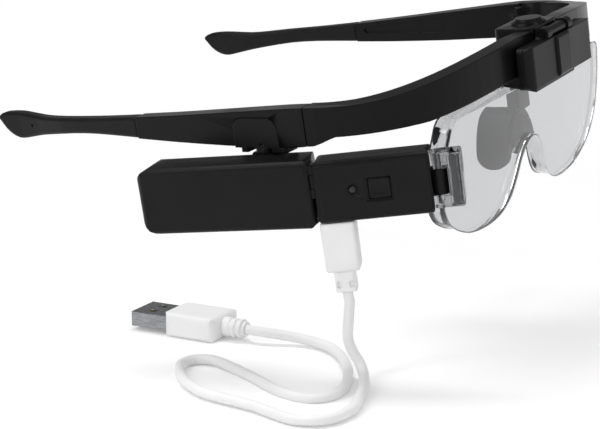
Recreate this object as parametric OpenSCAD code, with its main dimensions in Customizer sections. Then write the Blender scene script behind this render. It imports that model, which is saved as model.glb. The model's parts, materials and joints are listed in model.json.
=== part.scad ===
/* [Brow frame] */
// Half the distance between the two temples at their hinges, centre to centre
hinge_half = 70.2; // [66:0.1:76]
// Distance of the hinge line behind the nose saddle
hinge_back = 23; // [18:0.5:30]
// Height of the hinge line above the nose saddle
hinge_up = 14.5; // [10:0.5:20]
// How far the brow bar reaches forward of the hinge line
brow_reach = 41; // [34:0.5:48]
// Thickness of the brow bar, front to back
brow_t = 5; // [4.4:0.1:6]
// Squareness of the brow bar in plan, 2 is an ellipse
brow_square = 2.4; // [2:0.1:3]
// Top edge of the bar above the hinge line, at the temples
brow_top_side = 4.6; // [3.6:0.1:6.1]
// Extra height of the top edge over the nose
brow_top_rise = 7.5; // [5:0.1:9]
// Bottom edge of the bar below the hinge line, at the sides
brow_low_side = 2.8; // [1.3:0.1:4.3]
// Rise of the bottom edge over the nose
brow_low_rise = 4.2; // [2.5:0.1:5.5]

/* [Temples] */
// Thickness of a temple at its hinge
temple_t = 5.5; // [4.5:0.1:7]
// Depth of a temple below the hinge line at its hinge
temple_low = 5.2; // [4:0.1:6.5]
// Distance from the hinge line to the start of the temple tip
tip_start = 60; // [50:1:75]
// Distance from the hinge line to the end of the temple tip
tip_end = 121.5; // [105:0.5:135]
// Inward lean of a temple in plan, in degrees
temple_lean = 5; // [0:0.5:8]
// Radius of a hinge knuckle
knuckle_r = 1.7; // [1.4:0.1:2.2]
// Radius of a hinge screw
hinge_screw_r = 0.7; // [0.5:0.05:1]
// Height of the knuckle stack
knuckle_h = 8; // [6:0.5:10]

/* [Nose pad] */
// Depth of the nose pad, front to back
pad_depth = 10; // [8:0.5:13]
// Half width of the pad at the foot of its wings
pad_half_w = 10; // [8:0.5:12]
// Drop of the wings below the saddle
pad_drop = 14.5; // [11:0.5:18]
// Thickness of a pad wing
pad_t = 2.2; // [1.8:0.1:3]

/* [Lens] */
// Gap between the lens plate's edge and the light head when it is turned inward
lens_gap = 0.2; // [0.1:0.1:6]
// Thickness of the lens plate
lens_t = 5.6; // [4:0.1:7]
// Height of the lens plate below its top edge
lens_h = 37; // [32:0.5:42]
// Backward tilt of the lens plate, in degrees
lens_tilt = 9.8; // [5:0.1:14]
// Radius of the convex front face
lens_curve_r = 700; // [500:10:1200]

/* [Lens holder] */
// Half width of the lens holder
holder_half_w = 22; // [18:0.5:26]
// Depth of the lens holder, front to back
holder_d = 4.5; // [3.8:0.1:5.5]
// Height of the lens holder
holder_h = 12; // [10:0.1:13]
// Half width of the rear pocket that grips the lens tab
pocket_half_w = 14; // [10:0.5:18]
// Radius of the flip hinge lugs
flip_r = 2.1; // [1.8:0.1:2.5]
// Radius of the flip hinge pin
flip_pin_r = 0.8; // [0.6:0.05:1]
// Radius of the release button
release_r = 4.3; // [3.5:0.1:5]
// Travel of the release button
release_travel = 1.2; // [0.8:0.1:1.5]

/* [Lamp swivel] */
// Distance of the swivel axis behind the hinge line
swivel_back = 14; // [12:0.5:18]
// Length of the swivel shoe along the temple
shoe_len = 16; // [14:0.5:20]
// Thickness of the shoe's outer cheek
cheek_t = 1.3; // [1:0.1:1.6]
// Radius of the swivel screw
swivel_screw_r = 1.3; // [1:0.05:1.5]
// Radius of the swivel lug on the battery box
lug_r = 4.4; // [4:0.1:5.5]
// Turn of the battery box from the head's long axis, in degrees
lamp_yaw = 12; // [0:0.5:14]

/* [Battery box] */
// Length of the battery box
box_len = 51.6; // [46:0.1:60]
// Width of the battery box, outside to inside
box_w = 14; // [13:0.1:17]
// Height of the battery box
box_h = 19.1; // [17.6:0.1:22.6]
// Wall thickness of the lamp housings
wall = 1.4; // [1.2:0.1:1.8]
// Width of the battery box's outer cover
cover_w = 7.5; // [6.8:0.1:8.5]
// Thickness of the battery cell
cell_t = 6; // [4.5:0.1:6]
// Room that the battery cell leaves at both ends of the box together
cell_ends = 13.8; // [13.6:0.1:22]
// Room that the battery cell leaves above and below it together
cell_sides = 6.5; // [6.2:0.1:10]

/* [Lamp arm] */
// Length of the lamp arm from its hinge to the shoulder behind the light head
arm_len = 31.6; // [31:0.1:38]
// Width of the lamp arm, outside to inside
arm_w = 10.5; // [9.6:0.1:12]
// Height of the lamp arm
arm_h = 17.1; // [16.2:0.1:19.2]
// Bend of the arm from the battery box, in degrees
arm_bend = 12; // [6:0.5:14]
// Width of the arm's outer cover
arm_cover_w = 5.3; // [5.2:0.1:5.6]
// Radius of the arm's hinge barrel
barrel_r = 1.9; // [1.6:0.1:2]
// Radius of the arm's hinge pin
arm_pin_r = 0.7; // [0.5:0.05:0.8]
// Side of the square power button
button_side = 6; // [5:0.1:6.2]
// Travel of the power button
button_travel = 0.5; // [0.3:0.1:0.5]

/* [Light head] */
// Length of the clear light head, prongs included
head_len = 8.6; // [8:0.1:10]
// Width of the clear light head
head_w = 7.6; // [6.6:0.1:7.6]
// Radius of the light head's hinge pin
head_pin_r = 0.7; // [0.5:0.05:0.9]

/* [Charging cord] */
// Diameter of the cord
cord_d = 3; // [2.6:0.1:3.2]
// Length of the small plug's moulded body
plug_len = 14.2; // [11:0.1:15.5]
// Width of the small plug's moulded body
plug_w = 9.8; // [8.8:0.1:11]
// Thickness of the small plug's moulded body
plug_t = 6.6; // [5.6:0.1:8]
// Gap between the small plug and the battery box
plug_gap = 0.2; // [0.1:0.1:1]
// Length of the large plug's moulded body
usb_body_len = 17.5; // [14:0.5:22]
// Width of the large plug's moulded body
usb_body_w = 15; // [14:0.1:17]
// Thickness of the large plug's moulded body
usb_body_t = 7.6; // [6.6:0.1:9]
// Exposed length of the large plug's metal shell
usb_shell_len = 12; // [11:0.1:13]

/* [Hidden] */

$fn = 32;
// Small overlap that joins two shapes of one piece
eps = 0.05;
// Clearance between pieces that lie in pockets
slip = 0.1;
// Radial clearance of a running fit
run = 0.05;
black = "#1c1c1d";
soft_black = "#242425";
grey = "#6f7072";
clear_tint = "#d5dadd";
white = "#efefef";
steel = "#b9bcc0";
gold = "#c9a24a";

function back_order(points) = [for (i = [len(points) - 1:-1:0]) points[i]];
// Smooth run through the points, n steps between each two
function spline(p, n) = [
    for (i = [0:len(p) - 2]) for (j = [0:n - 1])
        let (t = j / n, a = p[max(i - 1, 0)], b = p[i], c = p[i + 1], d = p[min(i + 2, len(p) - 1)])
        (2 * b + (c - a) * t + (2 * a - 5 * b + 4 * c - d) * t * t + (3 * b - a - 3 * c + d) * t * t * t) / 2,
    p[len(p) - 1]
];
function arc(c, r, from, to, n = 5) =
    [for (i = [0:n]) c + r * [cos(from + (to - from) * i / n), sin(from + (to - from) * i / n)]];
// Rectangle from a to b with its own radius at each corner, counted from the low left one
function round_rect(a, b, r) = concat(
    arc([a[0] + r[0], a[1] + r[0]], r[0], 180, 270), arc([b[0] - r[1], a[1] + r[1]], r[1], 270, 360),
    arc([b[0] - r[2], b[1] - r[2]], r[2], 0, 90), arc([a[0] + r[3], b[1] - r[3]], r[3], 90, 180));

// Prism of an outline drawn in X and Z, between two places along Y
module prism_y(points, from, to) {
    translate([0, to, 0]) rotate([90, 0, 0]) linear_extrude(to - from) polygon(points);
}
// Prism of an outline drawn in Y and Z, between two places along X
module prism_x(points, from, to) {
    translate([from, 0, 0]) rotate([90, 0, 90]) linear_extrude(to - from) polygon(points);
}
module prism_z(points, from, to) {
    translate([0, 0, from]) linear_extrude(to - from) polygon(points);
}
module block(a, b) { translate(a) cube(b - a); }
module rod_z(x, y, r, from, to) { translate([x, y, from]) cylinder(r = r, h = to - from); }
module rod_x(y, z, r, from, to) {
    translate([from, y, z]) rotate([0, 90, 0]) cylinder(r = r, h = to - from);
}
module rod_y(x, z, r, from, to) {
    translate([x, from, z]) rotate([-90, 0, 0]) cylinder(r = r, h = to - from);
}
// Block from a to b rounded in side view, end view and plan
module soft_block(a, b, side, end, plan) {
    intersection() {
        prism_x(round_rect([a[1], a[2]], [b[1], b[2]], side), a[0], b[0]);
        prism_y(round_rect([a[0], a[2]], [b[0], b[2]], end), a[1], b[1]);
        prism_z(round_rect([a[0], a[1]], [b[0], b[1]], plan), a[2], b[2]);
    }
}

// Brow frame and hinges
seam = hinge_back - 1.5;
seam_gap = 0.3;
outer_half = hinge_half + temple_t / 2;
inner_half = hinge_half - temple_t / 2;
brow_front = hinge_back - brow_reach;
brow_back = brow_front + brow_t;
hinge_x = inner_half - 0.85;
hinge_y = seam + seam_gap / 2;
knuckle_gap = 0.12;
brow_level_half = 18;
knuckle_low = hinge_up + 0.5 - knuckle_h / 2;
knuckle_step = knuckle_h / 3;
screw_head_r = hinge_screw_r + 0.5;

function brow_plan(a, b, n = 40) = [
    for (i = [0:n]) let (t = 180 * i / n, c = cos(t), s = sin(t))
        [a * sign(c) * pow(abs(c), 2 / brow_square), hinge_back - b * pow(abs(s), 2 / brow_square)]];
// The bar's top edge is level across the hinges and across the bridge
function brow_top(x) = hinge_up + brow_top_side
    + brow_top_rise * cos(90 * max(brow_level_half, min(abs(x), inner_half)) / outer_half);
function brow_low(x) = hinge_up - brow_low_side + brow_low_rise * max(0, cos(90 * min(1, abs(x) / 55)));

// Bridge housing over the nose
bridge_half = 8.9;
bridge_front_wall = 2.6;
bridge_seat = brow_front + bridge_front_wall;
bridge_back = brow_back + 7.5;
bridge_low = hinge_up + 1.7;
plate_low = hinge_up + 9.7;
plate_top = plate_low + 2.6;
plate_front = brow_front - 0.2;
button_y = bridge_seat + 2.5;
button_top = plate_top + 1.5;
bezel_h = 0.6;
stem_r = 1.2;
spring_floor = plate_low - 3.2;
button_under = plate_low + release_travel + 0.15;

// Flip hinge and lens holder
flip_y = brow_front - 2.6;
flip_z = hinge_up + 10.1;
flip_mid_half = 5.6;
flip_mid_r = 1.6;
flip_half = 8.7;
holder_back_y = brow_front - 0.3;
holder_front_y = holder_back_y - holder_d;
holder_split = holder_back_y - 2;
holder_top = hinge_up + 9;
holder_low = holder_top - holder_h;
// The middle of the holder's front stands proud
holder_panel = 0.8;
holder_panel_half = 4.1;

// Lens plate, hung from the pocket of the holder
lens_top = hinge_up - 4.3;
lens_front = brow_front + 4.3;
tab_half = pocket_half_w - 2.5;
tab_h = 2.6;
tab_from = 1.2;
tab_to = lens_t - 1.2;

// Nose pad
pad_front = -3;
pad_back = pad_front + pad_depth;
pad_arm_front = bridge_back;
pad_arm_t = 1.8;
pad_arm_back = pad_arm_front + pad_arm_t;
pad_arm_half = 3.2;
pad_arm_top = hinge_up + 7.5;
pad_arm_low = 1.8;
pad_stem_top = 8;
pad_peg_z = 5;
pad_peg_r = 1;
pad_screw_z = hinge_up + 4;
pad_screw_r = 0.8;

// Lamp swivel, seen from the swivel axis on the right temple
swivel_off = 0.2;
swivel_x = -(hinge_half - swivel_back * tan(temple_lean) + swivel_off);
swivel_y = hinge_back + swivel_back;
temple_half_here = temple_t / 2 - 0.1;
temple_belly = temple_low + 0.5;
shoe_low = hinge_up - 7.4;
cheek_len = shoe_len - 0.5;
cheek_mid = 1.6;
cheek_top = hinge_up + 2.4;

// Battery box, in the frame of the swivel axis
box_out = -13.3;
box_in = box_out + box_w;
box_split = box_out + cover_w;
box_top = shoe_low - 0.25;
box_low = box_top - box_h;
arm_axis_in = 2.9;
arm_axis_x = box_out + arm_axis_in;
arm_axis_y = -16.1;
end_gap = 0.2;
box_front = arm_axis_y + end_gap;
box_back = box_front + box_len;
front_wall = 3.2;
wedge = arm_bend + 2;
lug_low = box_top - 5;
swivel_head_r = swivel_screw_r + 1.2;

// Lamp arm, in the frame of the arm's hinge axis
arm_out = -arm_axis_in;
arm_in = arm_out + arm_w;
arm_split = arm_out + arm_cover_w;
arm_back = -end_gap;
arm_front = arm_back - arm_len;
arm_top = box_top - 0.75;
arm_low = arm_top - arm_h;
panel_h = 0.4;
barrel_low = hinge_up - 18.3;
barrel_top = box_top - 1.5;
barrel_mid_low = barrel_low + 2.6;
barrel_mid_top = barrel_top - 2.6;
rear_wall = 2.8;
button_at = [arm_back - 17.6, arm_top - 8.4];
button_recess = 0.3;
pipe_at = [arm_back - 10.3, arm_top - 8.2];
pipe_r = 0.9;
board_out = arm_split + 0.5;
board_t = 1;
board_in = board_out + board_t;
plug_y = end_gap - plug_gap - plug_w / 2;
socket_w = 7.5;
socket_d = 2.7;
socket_h = barrel_low - 0.6 - arm_low;
plug_x = board_out - socket_d / 2;

// Light head, in the frame of the arm's hinge axis
head_y = arm_front - 2.1;
head_x = arm_out + 4.2;
tongue_r = 2.1;
prong_r = 2.9;
tongue_low = arm_low + 4.5;
tongue_top = arm_top - 5.4;
head_front = arm_front + 0.1 - head_len + 0.1;
head_out = head_x - head_w / 2;
head_in = head_x + head_w / 2;
head_low = arm_low + 1.1;
head_top = arm_top - 0.9;
head_back = head_y - tongue_r - 0.3;
head_wall = 1;
head_inward = 8;

// Places of the arm's hinge, the light head's hinge and the small plug, in the row's frame
function turn(angle, p) = [cos(angle) * p[0] - sin(angle) * p[1], sin(angle) * p[0] + cos(angle) * p[1]];
arm_turn = lamp_yaw + arm_bend;
hinge_at = [swivel_x, swivel_y] + turn(lamp_yaw, [arm_axis_x, arm_axis_y]);
head_at = hinge_at + turn(arm_turn, [head_x, head_y]);
plug_at = hinge_at + turn(arm_turn, [plug_x, plug_y]);
head_corner = head_at + turn(arm_turn + head_inward, [head_in - head_x, head_front - head_y]);
lens_half_w = -head_corner[0] - lens_gap;

// Cord route, from the small plug's relief to the large plug's neck, counted from the relief's foot
relief_len = 6;
relief_low = arm_low - 0.3 - plug_len - relief_len;
cord_from = [plug_at[0], plug_at[1], relief_low];
cord_line = [
    [0, 0, -run], [0, 0, -2], [0, 0, -4], [-1.1, 1.3, -13], [-0.7, 0.8, -17.5], [-0.5, -0.9, -21.1],
    [-2.7, -3.1, -23.3], [-6.3, -5.3, -23.7], [-11.3, -8, -23.5], [-23.3, -12.5, -23],
    [-29.3, -13.5, -22.5], [-35.3, -12.5, -21.7], [-39.3, -9, -21], [-40.8, -3.5, -20.5],
    [-39.3, 3.5, -20], [-37.8, 10.5, -19.3], [-36.8, 24.5, -17.9], [-34.3, 31.5, -17.5],
    [-30.3, 37.5, -17.4], [-25.3, 42.5, -17.5], [-19.8, 46, -17.8], [-14.8, 45.5, -18.3],
    [-12.3, 41.5, -18.9], [-13.3, 35.5, -19.5], [-17.5, 24.5, -20.4], [-22.8, 13, -21.2],
    [-24.5, 5.5, -21.8], [-23.3, 0, -22.4], [-18.8, -2.8, -23], [-12.8, -2.5, -23.5], [-5.3, 0.5, -23.9],
    [1.7, 4.8, -24], [8.2, 10, -24.1], [13.7, 16.5, -23.9], [16.5, 23.5, -23.5], [16, 29.5, -22.3],
    [13.9, 34.8, -20.7]
];
usb_at = cord_from + [11.7, 44.5, -19];
usb_turn = [5.7, 5.6, 3.8];
// The cord runs straight into the large plug's neck
usb_heading = [-sin(usb_turn[2]) * cos(usb_turn[0]) + cos(usb_turn[2]) * sin(usb_turn[1]) * sin(usb_turn[0]),
    cos(usb_turn[2]) * cos(usb_turn[0]) + sin(usb_turn[2]) * sin(usb_turn[1]) * sin(usb_turn[0]),
    cos(usb_turn[1]) * sin(usb_turn[0])];
cord_route = concat([for (p = cord_line) cord_from + p],
    [for (d = [5, 2.5, run]) usb_at - d * usb_heading]);
usb_neck_len = 7.5;
usb_shell_w = 12;
usb_shell_t = 4.5;
usb_wall = 0.3;
contact_h = 0.2;

function brow_x(i) = outer_half + 1 - (2 * outer_half + 2) * i / 32;
brow_outline = concat(
    [for (i = [0:32]) [brow_x(i), brow_top(brow_x(i))]],
    [for (i = [32:-1:0]) [brow_x(i), brow_low(brow_x(i))]]);
// Side view of the frame's ends, deeper toward the hinge
lug_outline = [
    [seam, hinge_up - temple_low], [hinge_back - 3.6, hinge_up - temple_low + 0.1],
    [hinge_back - 6.1, hinge_up - 4.3], [hinge_back - 8.6, hinge_up - 3.3],
    [hinge_back - 10.8, hinge_up - 2.6], [hinge_back - 15, hinge_up - 2.2],
    [hinge_back - 15, hinge_up + brow_top_side],
    [seam, hinge_up + brow_top_side]
];

module both_sides() {
    children();
    mirror([1, 0, 0]) children();
}
module knuckle(r, from, to, grow = 0) {
    rod_z(hinge_x, hinge_y, r, knuckle_low + from * knuckle_step - grow,
        knuckle_low + to * knuckle_step + grow);
}

module frame_front() {
    color(black) difference() {
        union() {
            difference() {
                intersection() {
                    prism_z(concat(brow_plan(outer_half, brow_reach),
                        back_order(brow_plan(inner_half, brow_reach - brow_t))),
                        hinge_up - 10, hinge_up + 20);
                    union() {
                        prism_y(brow_outline, brow_front - 1, seam);
                        both_sides() prism_x(lug_outline, inner_half - 8, outer_half + 1);
                    }
                    block([-outer_half - 1, brow_front - 1, -50], [outer_half + 1, seam, 50]);
                }
                both_sides() knuckle(knuckle_r + seam_gap, 1, 2, knuckle_gap);
                block([-bridge_half - slip, bridge_seat, bridge_low - slip],
                    [bridge_half + slip, bridge_back, 50]);
                block([-bridge_half - slip, brow_front - 1, plate_low],
                    [bridge_half + slip, bridge_back, 50]);
            }
            both_sides() for (k = [0, 2]) {
                knuckle(knuckle_r, k, k + 1, -knuckle_gap / 2);
                prism_z([[hinge_x - knuckle_r + eps, seam], [inner_half + eps, hinge_back - 6],
                    [inner_half + 0.6, seam]], knuckle_low + k * knuckle_step + knuckle_gap / 2,
                    knuckle_low + (k + 1) * knuckle_step - knuckle_gap / 2);
            }
            rod_x(flip_y, flip_z, flip_mid_r, -flip_mid_half, flip_mid_half);
            block([-flip_mid_half, flip_y, flip_z - 3], [flip_mid_half, bridge_seat, plate_low]);
        }
        both_sides() {
            knuckle(hinge_screw_r + run, 0, 3, 1);
            rod_z(hinge_x, hinge_y, screw_head_r + run,
                knuckle_low + knuckle_h - 0.8, knuckle_low + knuckle_h + 1);
        }
        rod_x(flip_y, flip_z, flip_pin_r + run, -flip_half, flip_half);
        for (x = bridge_screw_x)
            rod_y(x, bridge_screw_z, bridge_screw_r + run, bridge_seat - 1.9, bridge_seat + 1);
    }
}
module hinge_screw() {
    rod_z(hinge_x, hinge_y, screw_head_r, knuckle_low + knuckle_h - 0.8, knuckle_low + knuckle_h);
    rod_z(hinge_x, hinge_y, hinge_screw_r, knuckle_low, knuckle_low + knuckle_h - 0.7);
}
module hinge_screw_left() { color(steel) hinge_screw(); }
module hinge_screw_right() { color(steel) mirror([1, 0, 0]) hinge_screw(); }

// Side view of a temple, Y behind the hinge line and Z above it
temple_up = brow_top(outer_half) - hinge_up;
temple_top_line = [
    [-1.2, temple_up], [6, temple_up - 0.3], [28, 3.7], [46, 2.5], [65, 1.5], [77, 1], [tip_end - 35, 0.75],
    [tip_end - 24.5, 0.45], [tip_end - 19, 0.55], [tip_end - 14, 1.05], [tip_end - 9.3, 1.5],
    [tip_end - 4.5, 1.45], [tip_end - 1.8, 0.9], [tip_end - 0.3, 0]
];
temple_low_line = [
    [-1.2, -temple_low], [5, -temple_belly], [15, -temple_belly], [26, -temple_belly], [46, -5.2],
    [64.5, -4.4], [76.5, -3.9], [tip_end - 35, -4], [tip_end - 24.8, -4.85], [tip_end - 19, -5.5],
    [tip_end - 13.7, -6.35], [tip_end - 9.8, -6.9], [tip_end - 7.5, -6.6], [tip_end - 5.4, -5.75],
    [tip_end - 3, -4], [tip_end - 1.4, -2], [tip_end - 0.4, -0.9]
];
function from_hinge(p, shift = 0) = [for (q = p) [hinge_back + q[0], hinge_up + q[1] + shift]];
temple_outline = concat(from_hinge(spline(temple_top_line, 2)),
    back_order(from_hinge(spline(temple_low_line, 2))));
// Stations along a temple: distance behind the hinge line, extra bend inward, thickness
temple_stations = [
    [-1.2, 0, temple_t], [0, 0, temple_t], [tip_start, 0, temple_t - 0.7], [tip_end - 36.5, 0, temple_t - 1],
    [tip_end - 30, 0.35, temple_t - 1.1], [tip_end - 24.5, 1.1, temple_t - 1.2],
    [tip_end - 18, 2.05, temple_t - 1.4], [tip_end - 10, 2.6, temple_t - 1.7], [tip_end, 2.3, temple_t - 2.5]
];
function temple_edge(side, inset) = [for (s = temple_stations)
    [hinge_half - max(0, s[0]) * tan(temple_lean) - s[1] + side * (s[2] / 2 - inset), hinge_back + s[0]]];
tenon = [1, 15.5, 1.5];
tenon_z = hinge_up - 1.45;
panel_depth = 0.6;
panel_from = swivel_back + 12;

module temple_blank(from, to) {
    intersection() {
        prism_x(temple_outline, hinge_half - 30, hinge_half + 10);
        prism_z(concat(temple_edge(1, 0), back_order(temple_edge(-1, 0))), hinge_up - 10, hinge_up + 10);
        block([hinge_half - 30, hinge_back + from, hinge_up - 10],
            [hinge_half + 10, hinge_back + to, hinge_up + 10]);
    }
}
module temple_tenon(grow) {
    translate([hinge_half, hinge_back, tenon_z]) rotate([0, 0, temple_lean]) translate([0, tip_start, 0])
        block([-tenon[0] - grow, -2, -tenon[2] - grow], [tenon[0] + grow, tenon[1] + grow, tenon[2] + grow]);
}
module temple_body() {
    difference() {
        union() {
            difference() {
                temple_blank(-2, tip_start);
                for (k = [0, 2]) knuckle(knuckle_r + seam_gap, k, k + 1, knuckle_gap);
                intersection() {
                    prism_x([[hinge_back + panel_from, hinge_up - 2.9],
                        [hinge_back + tip_start - 4, hinge_up - 1.9],
                        [hinge_back + tip_start - 3, hinge_up - 0.5],
                        [hinge_back + tip_start - 5, hinge_up + 0.6],
                        [hinge_back + panel_from, hinge_up + 2.6]], hinge_half - 30, hinge_half + 10);
                    prism_z(concat(temple_edge(-1, panel_depth), back_order(temple_edge(-1, -5))),
                        hinge_up - 10, hinge_up + 10);
                }
            }
            temple_tenon(0);
            knuckle(knuckle_r, 1, 2, -knuckle_gap / 2);
            prism_z([[hinge_x - knuckle_r + eps, seam + seam_gap], [inner_half + 0.6, seam + seam_gap],
                [inner_half + eps, seam + 5]], knuckle_low + knuckle_step + knuckle_gap / 2,
                knuckle_low + 2 * knuckle_step - knuckle_gap / 2);
        }
        knuckle(hinge_screw_r + run, 0, 3, 1);
    }
}
module temple_left() { color(black) temple_body(); }
module temple_right() {
    color(black) difference() {
        mirror([1, 0, 0]) temple_body();
        on_temple() {
            shoe_cheek(slip);
            shoe_web(slip);
            for (y = shoe_screw_y) {
                rod_x(y, shoe_screw_z, shoe_screw_r + run, cheek_in - 1, 10);
                rod_x(y, shoe_screw_z, shoe_screw_r + 0.6 + run, temple_in_here - 0.9, 10);
            }
        }
    }
}
module temple_tip() {
    difference() {
        temple_blank(tip_start, tip_end + 5);
        temple_tenon(run);
        intersection() {
            rod_x(hinge_back + tip_end - 15.5, hinge_up - 2.4, 0.4, hinge_half - 20, hinge_half);
            prism_z(concat(temple_edge(1, -1), back_order(temple_edge(1, 0.5))),
                hinge_up - 10, hinge_up + 10);
        }
    }
}
module temple_tip_left() { color(soft_black) temple_tip(); }
module temple_tip_right() { color(soft_black) mirror([1, 0, 0]) temple_tip(); }

// Screws that hold the bridge housing and the holder
bridge_screw_x = [-6.6, 6.6];
bridge_screw_z = bridge_low + 2.6;
bridge_screw_r = 0.7;
bridge_head_r = 1.3;
stem_floor = spring_floor - 1.5;
clip_t = 0.5;
clip_r = 2;

module bridge_housing() {
    color(soft_black) difference() {
        union() {
            soft_block([-bridge_half, bridge_seat, bridge_low], [bridge_half, bridge_back, plate_top],
                [0.3, 1, 0.8, 0.3], [0.8, 0.8, 0.3, 0.3], [0.3, 0.3, 2, 2]);
            soft_block([-bridge_half, plate_front, plate_low], [bridge_half, bridge_back, plate_top],
                [0.3, 0.3, 0.8, 0.8], [0.3, 0.3, 0.6, 0.6], [2.5, 2.5, 2, 2]);
            rod_z(0, button_y, release_r + 0.8, plate_top - eps, plate_top + bezel_h);
        }
        rod_z(0, button_y, release_r + 2 * slip, plate_low - slip, 50);
        rod_z(0, button_y, stem_r + 1.4, spring_floor, 50);
        rod_z(0, button_y, stem_r + slip, stem_floor - 1, 50);
        rod_z(0, button_y, clip_r + 2 * slip, bridge_low - 1, stem_floor);
        for (x = bridge_screw_x) {
            rod_y(x, bridge_screw_z, bridge_screw_r + run, bridge_seat - 1, bridge_back + 1);
            rod_y(x, bridge_screw_z, bridge_head_r + run, bridge_back - 1.2, bridge_back + 1);
        }
        rod_y(0, pad_screw_z, pad_screw_r + run, bridge_back - 3.6, bridge_back + 1);
    }
}
module bridge_screws() {
    color(steel) for (x = bridge_screw_x) {
        rod_y(x, bridge_screw_z, bridge_head_r, bridge_back - 1.2, bridge_back - 0.2);
        rod_y(x, bridge_screw_z, bridge_screw_r, bridge_seat - 1.8, bridge_back - 1.1);
    }
}
module release_button() {
    color(black) difference() {
        union() {
            rod_z(0, button_y, release_r, button_under, button_top - 0.5);
            rod_z(0, button_y, release_r - 0.4, button_under, button_top);
            rod_z(0, button_y, stem_r, stem_floor - clip_t - 0.6, button_under + eps);
        }
        difference() {
            rod_z(0, button_y, stem_r + 1, stem_floor - clip_t - run, stem_floor - run);
            rod_z(0, button_y, stem_r - 0.35, stem_floor - 5, stem_floor + 5);
        }
    }
}
module release_clip() {
    color(steel) difference() {
        rod_z(0, button_y, clip_r, stem_floor - clip_t - run, stem_floor - run);
        rod_z(0, button_y, stem_r - 0.35, stem_floor - 5, stem_floor + 5);
        block([-stem_r + 0.4, button_y, stem_floor - 5], [stem_r - 0.4, button_y + 5, stem_floor + 5]);
    }
}

// Unbroken tube along a path, with the frame of each ring kept square to the path
function unit(v) = v / norm(v);
function heading(p, i) = unit(p[min(i + 1, len(p) - 1)] - p[max(i - 1, 0)]);
function carry(p, u, i) = i == len(p) ? [] :
    let (t = heading(p, i), side = unit(u - (u * t) * t)) concat([side], carry(p, side, i + 1));
module tube(p, r, sides, start) {
    side = carry(p, start, 0);
    points = [for (i = [0:len(p) - 1]) for (j = [0:sides - 1]) let (a = 360 * j / sides)
        p[i] + r * (cos(a) * side[i] + sin(a) * cross(heading(p, i), side[i]))];
    faces = concat(
        [[for (j = [0:sides - 1]) j]],
        [for (i = [0:len(p) - 2]) for (j = [0:sides - 1]) let (k = (j + 1) % sides)
            each [[i * sides + j, (i + 1) * sides + k, i * sides + k],
                [i * sides + j, (i + 1) * sides + j, (i + 1) * sides + k]]],
        [[for (j = [sides - 1:-1:0]) (len(p) - 1) * sides + j]]);
    polyhedron(points, faces);
}
spring_turns = 5;
spring_wire_r = 0.25;
spring_r = stem_r + 0.75;
module release_spring() {
    height = button_under - spring_floor - 2 * spring_wire_r - 2 * slip;
    path = [for (i = [0:8 * spring_turns]) [
        spring_r * cos(45 * i), button_y + spring_r * sin(45 * i),
        spring_floor + spring_wire_r + slip + height * i / (8 * spring_turns)]];
    color(steel) tube(path, spring_wire_r, 6, [1, 0, 0]);
}

module nose_pad_arm() {
    color(black) {
        difference() {
            soft_block([-pad_arm_half, pad_arm_front, pad_arm_low],
                [pad_arm_half, pad_arm_back, pad_arm_top],
                [0.3, 0.3, 0.6, 0.3], [1.5, 1.5, 2, 2], [0.3, 0.3, 0.3, 0.3]);
            rod_y(0, pad_screw_z, pad_screw_r + run, pad_arm_front - 1, pad_arm_back + 1);
        }
        rod_y(0, pad_peg_z, pad_peg_r, pad_arm_back - eps, pad_arm_back + 1.5);
    }
}
module nose_pad_screw() {
    color(steel) {
        rod_y(0, pad_screw_z, pad_screw_r + 0.8, pad_arm_back, pad_arm_back + 0.8);
        rod_y(0, pad_screw_z, pad_screw_r, bridge_back - 3.5, pad_arm_back + eps);
    }
}
wing_k = pad_half_w / 10;
wing_z = pad_drop / 14.5;
pad_over = [[0, pad_t], [4.6 * wing_k, 0.5], [7.8 * wing_k, -4 * wing_z], [9.4 * wing_k, -9.5 * wing_z],
    [pad_half_w, -pad_drop]];
pad_under = [for (i = [0:4]) let (p = pad_over, d = unit(p[min(i + 1, 4)] - p[max(i - 1, 0)]))
    i == 0 ? [0, 0] : i == 4 ? [pad_half_w - pad_t, -pad_drop] : p[i] + pad_t * [d[1], -d[0]]];
module nose_pad() {
    half = concat(spline(pad_over, 3), back_order(spline(pad_under, 3)));
    color(grey) difference() {
        union() {
            intersection() {
                both_sides() prism_y(half, pad_front, pad_back);
                prism_x(round_rect([pad_front, -pad_drop], [pad_back, pad_t + 1], [4.5, 4.5, 1.2, 0.3]),
                    -pad_half_w, pad_half_w);
            }
            soft_block([-pad_arm_half, pad_arm_back, 0.6], [pad_arm_half, pad_arm_back + 2.6, pad_stem_top],
                [0.3, 0.3, 1.2, 0.3], [0.5, 0.5, 1.5, 1.5], [0.3, 0.3, 0.8, 0.8]);
        }
        rod_y(0, pad_peg_z, pad_peg_r + run, pad_arm_back - 1, pad_arm_back + 1.6);
    }
}

holder_r = 2.5;
holder_screw_x = [5 - holder_half_w, holder_half_w - 5];
holder_screw_z = (holder_top + holder_low) / 2;
holder_screw_r = 0.8;
holder_head_r = 1.6;
barrel_gap = 0.2;
pocket_front = -6;
pocket_back = lens_t + 1.4;
pocket_h = 3.5;
module on_lens() { translate([0, lens_front, lens_top]) rotate([lens_tilt, 0, 0]) children(); }
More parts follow.
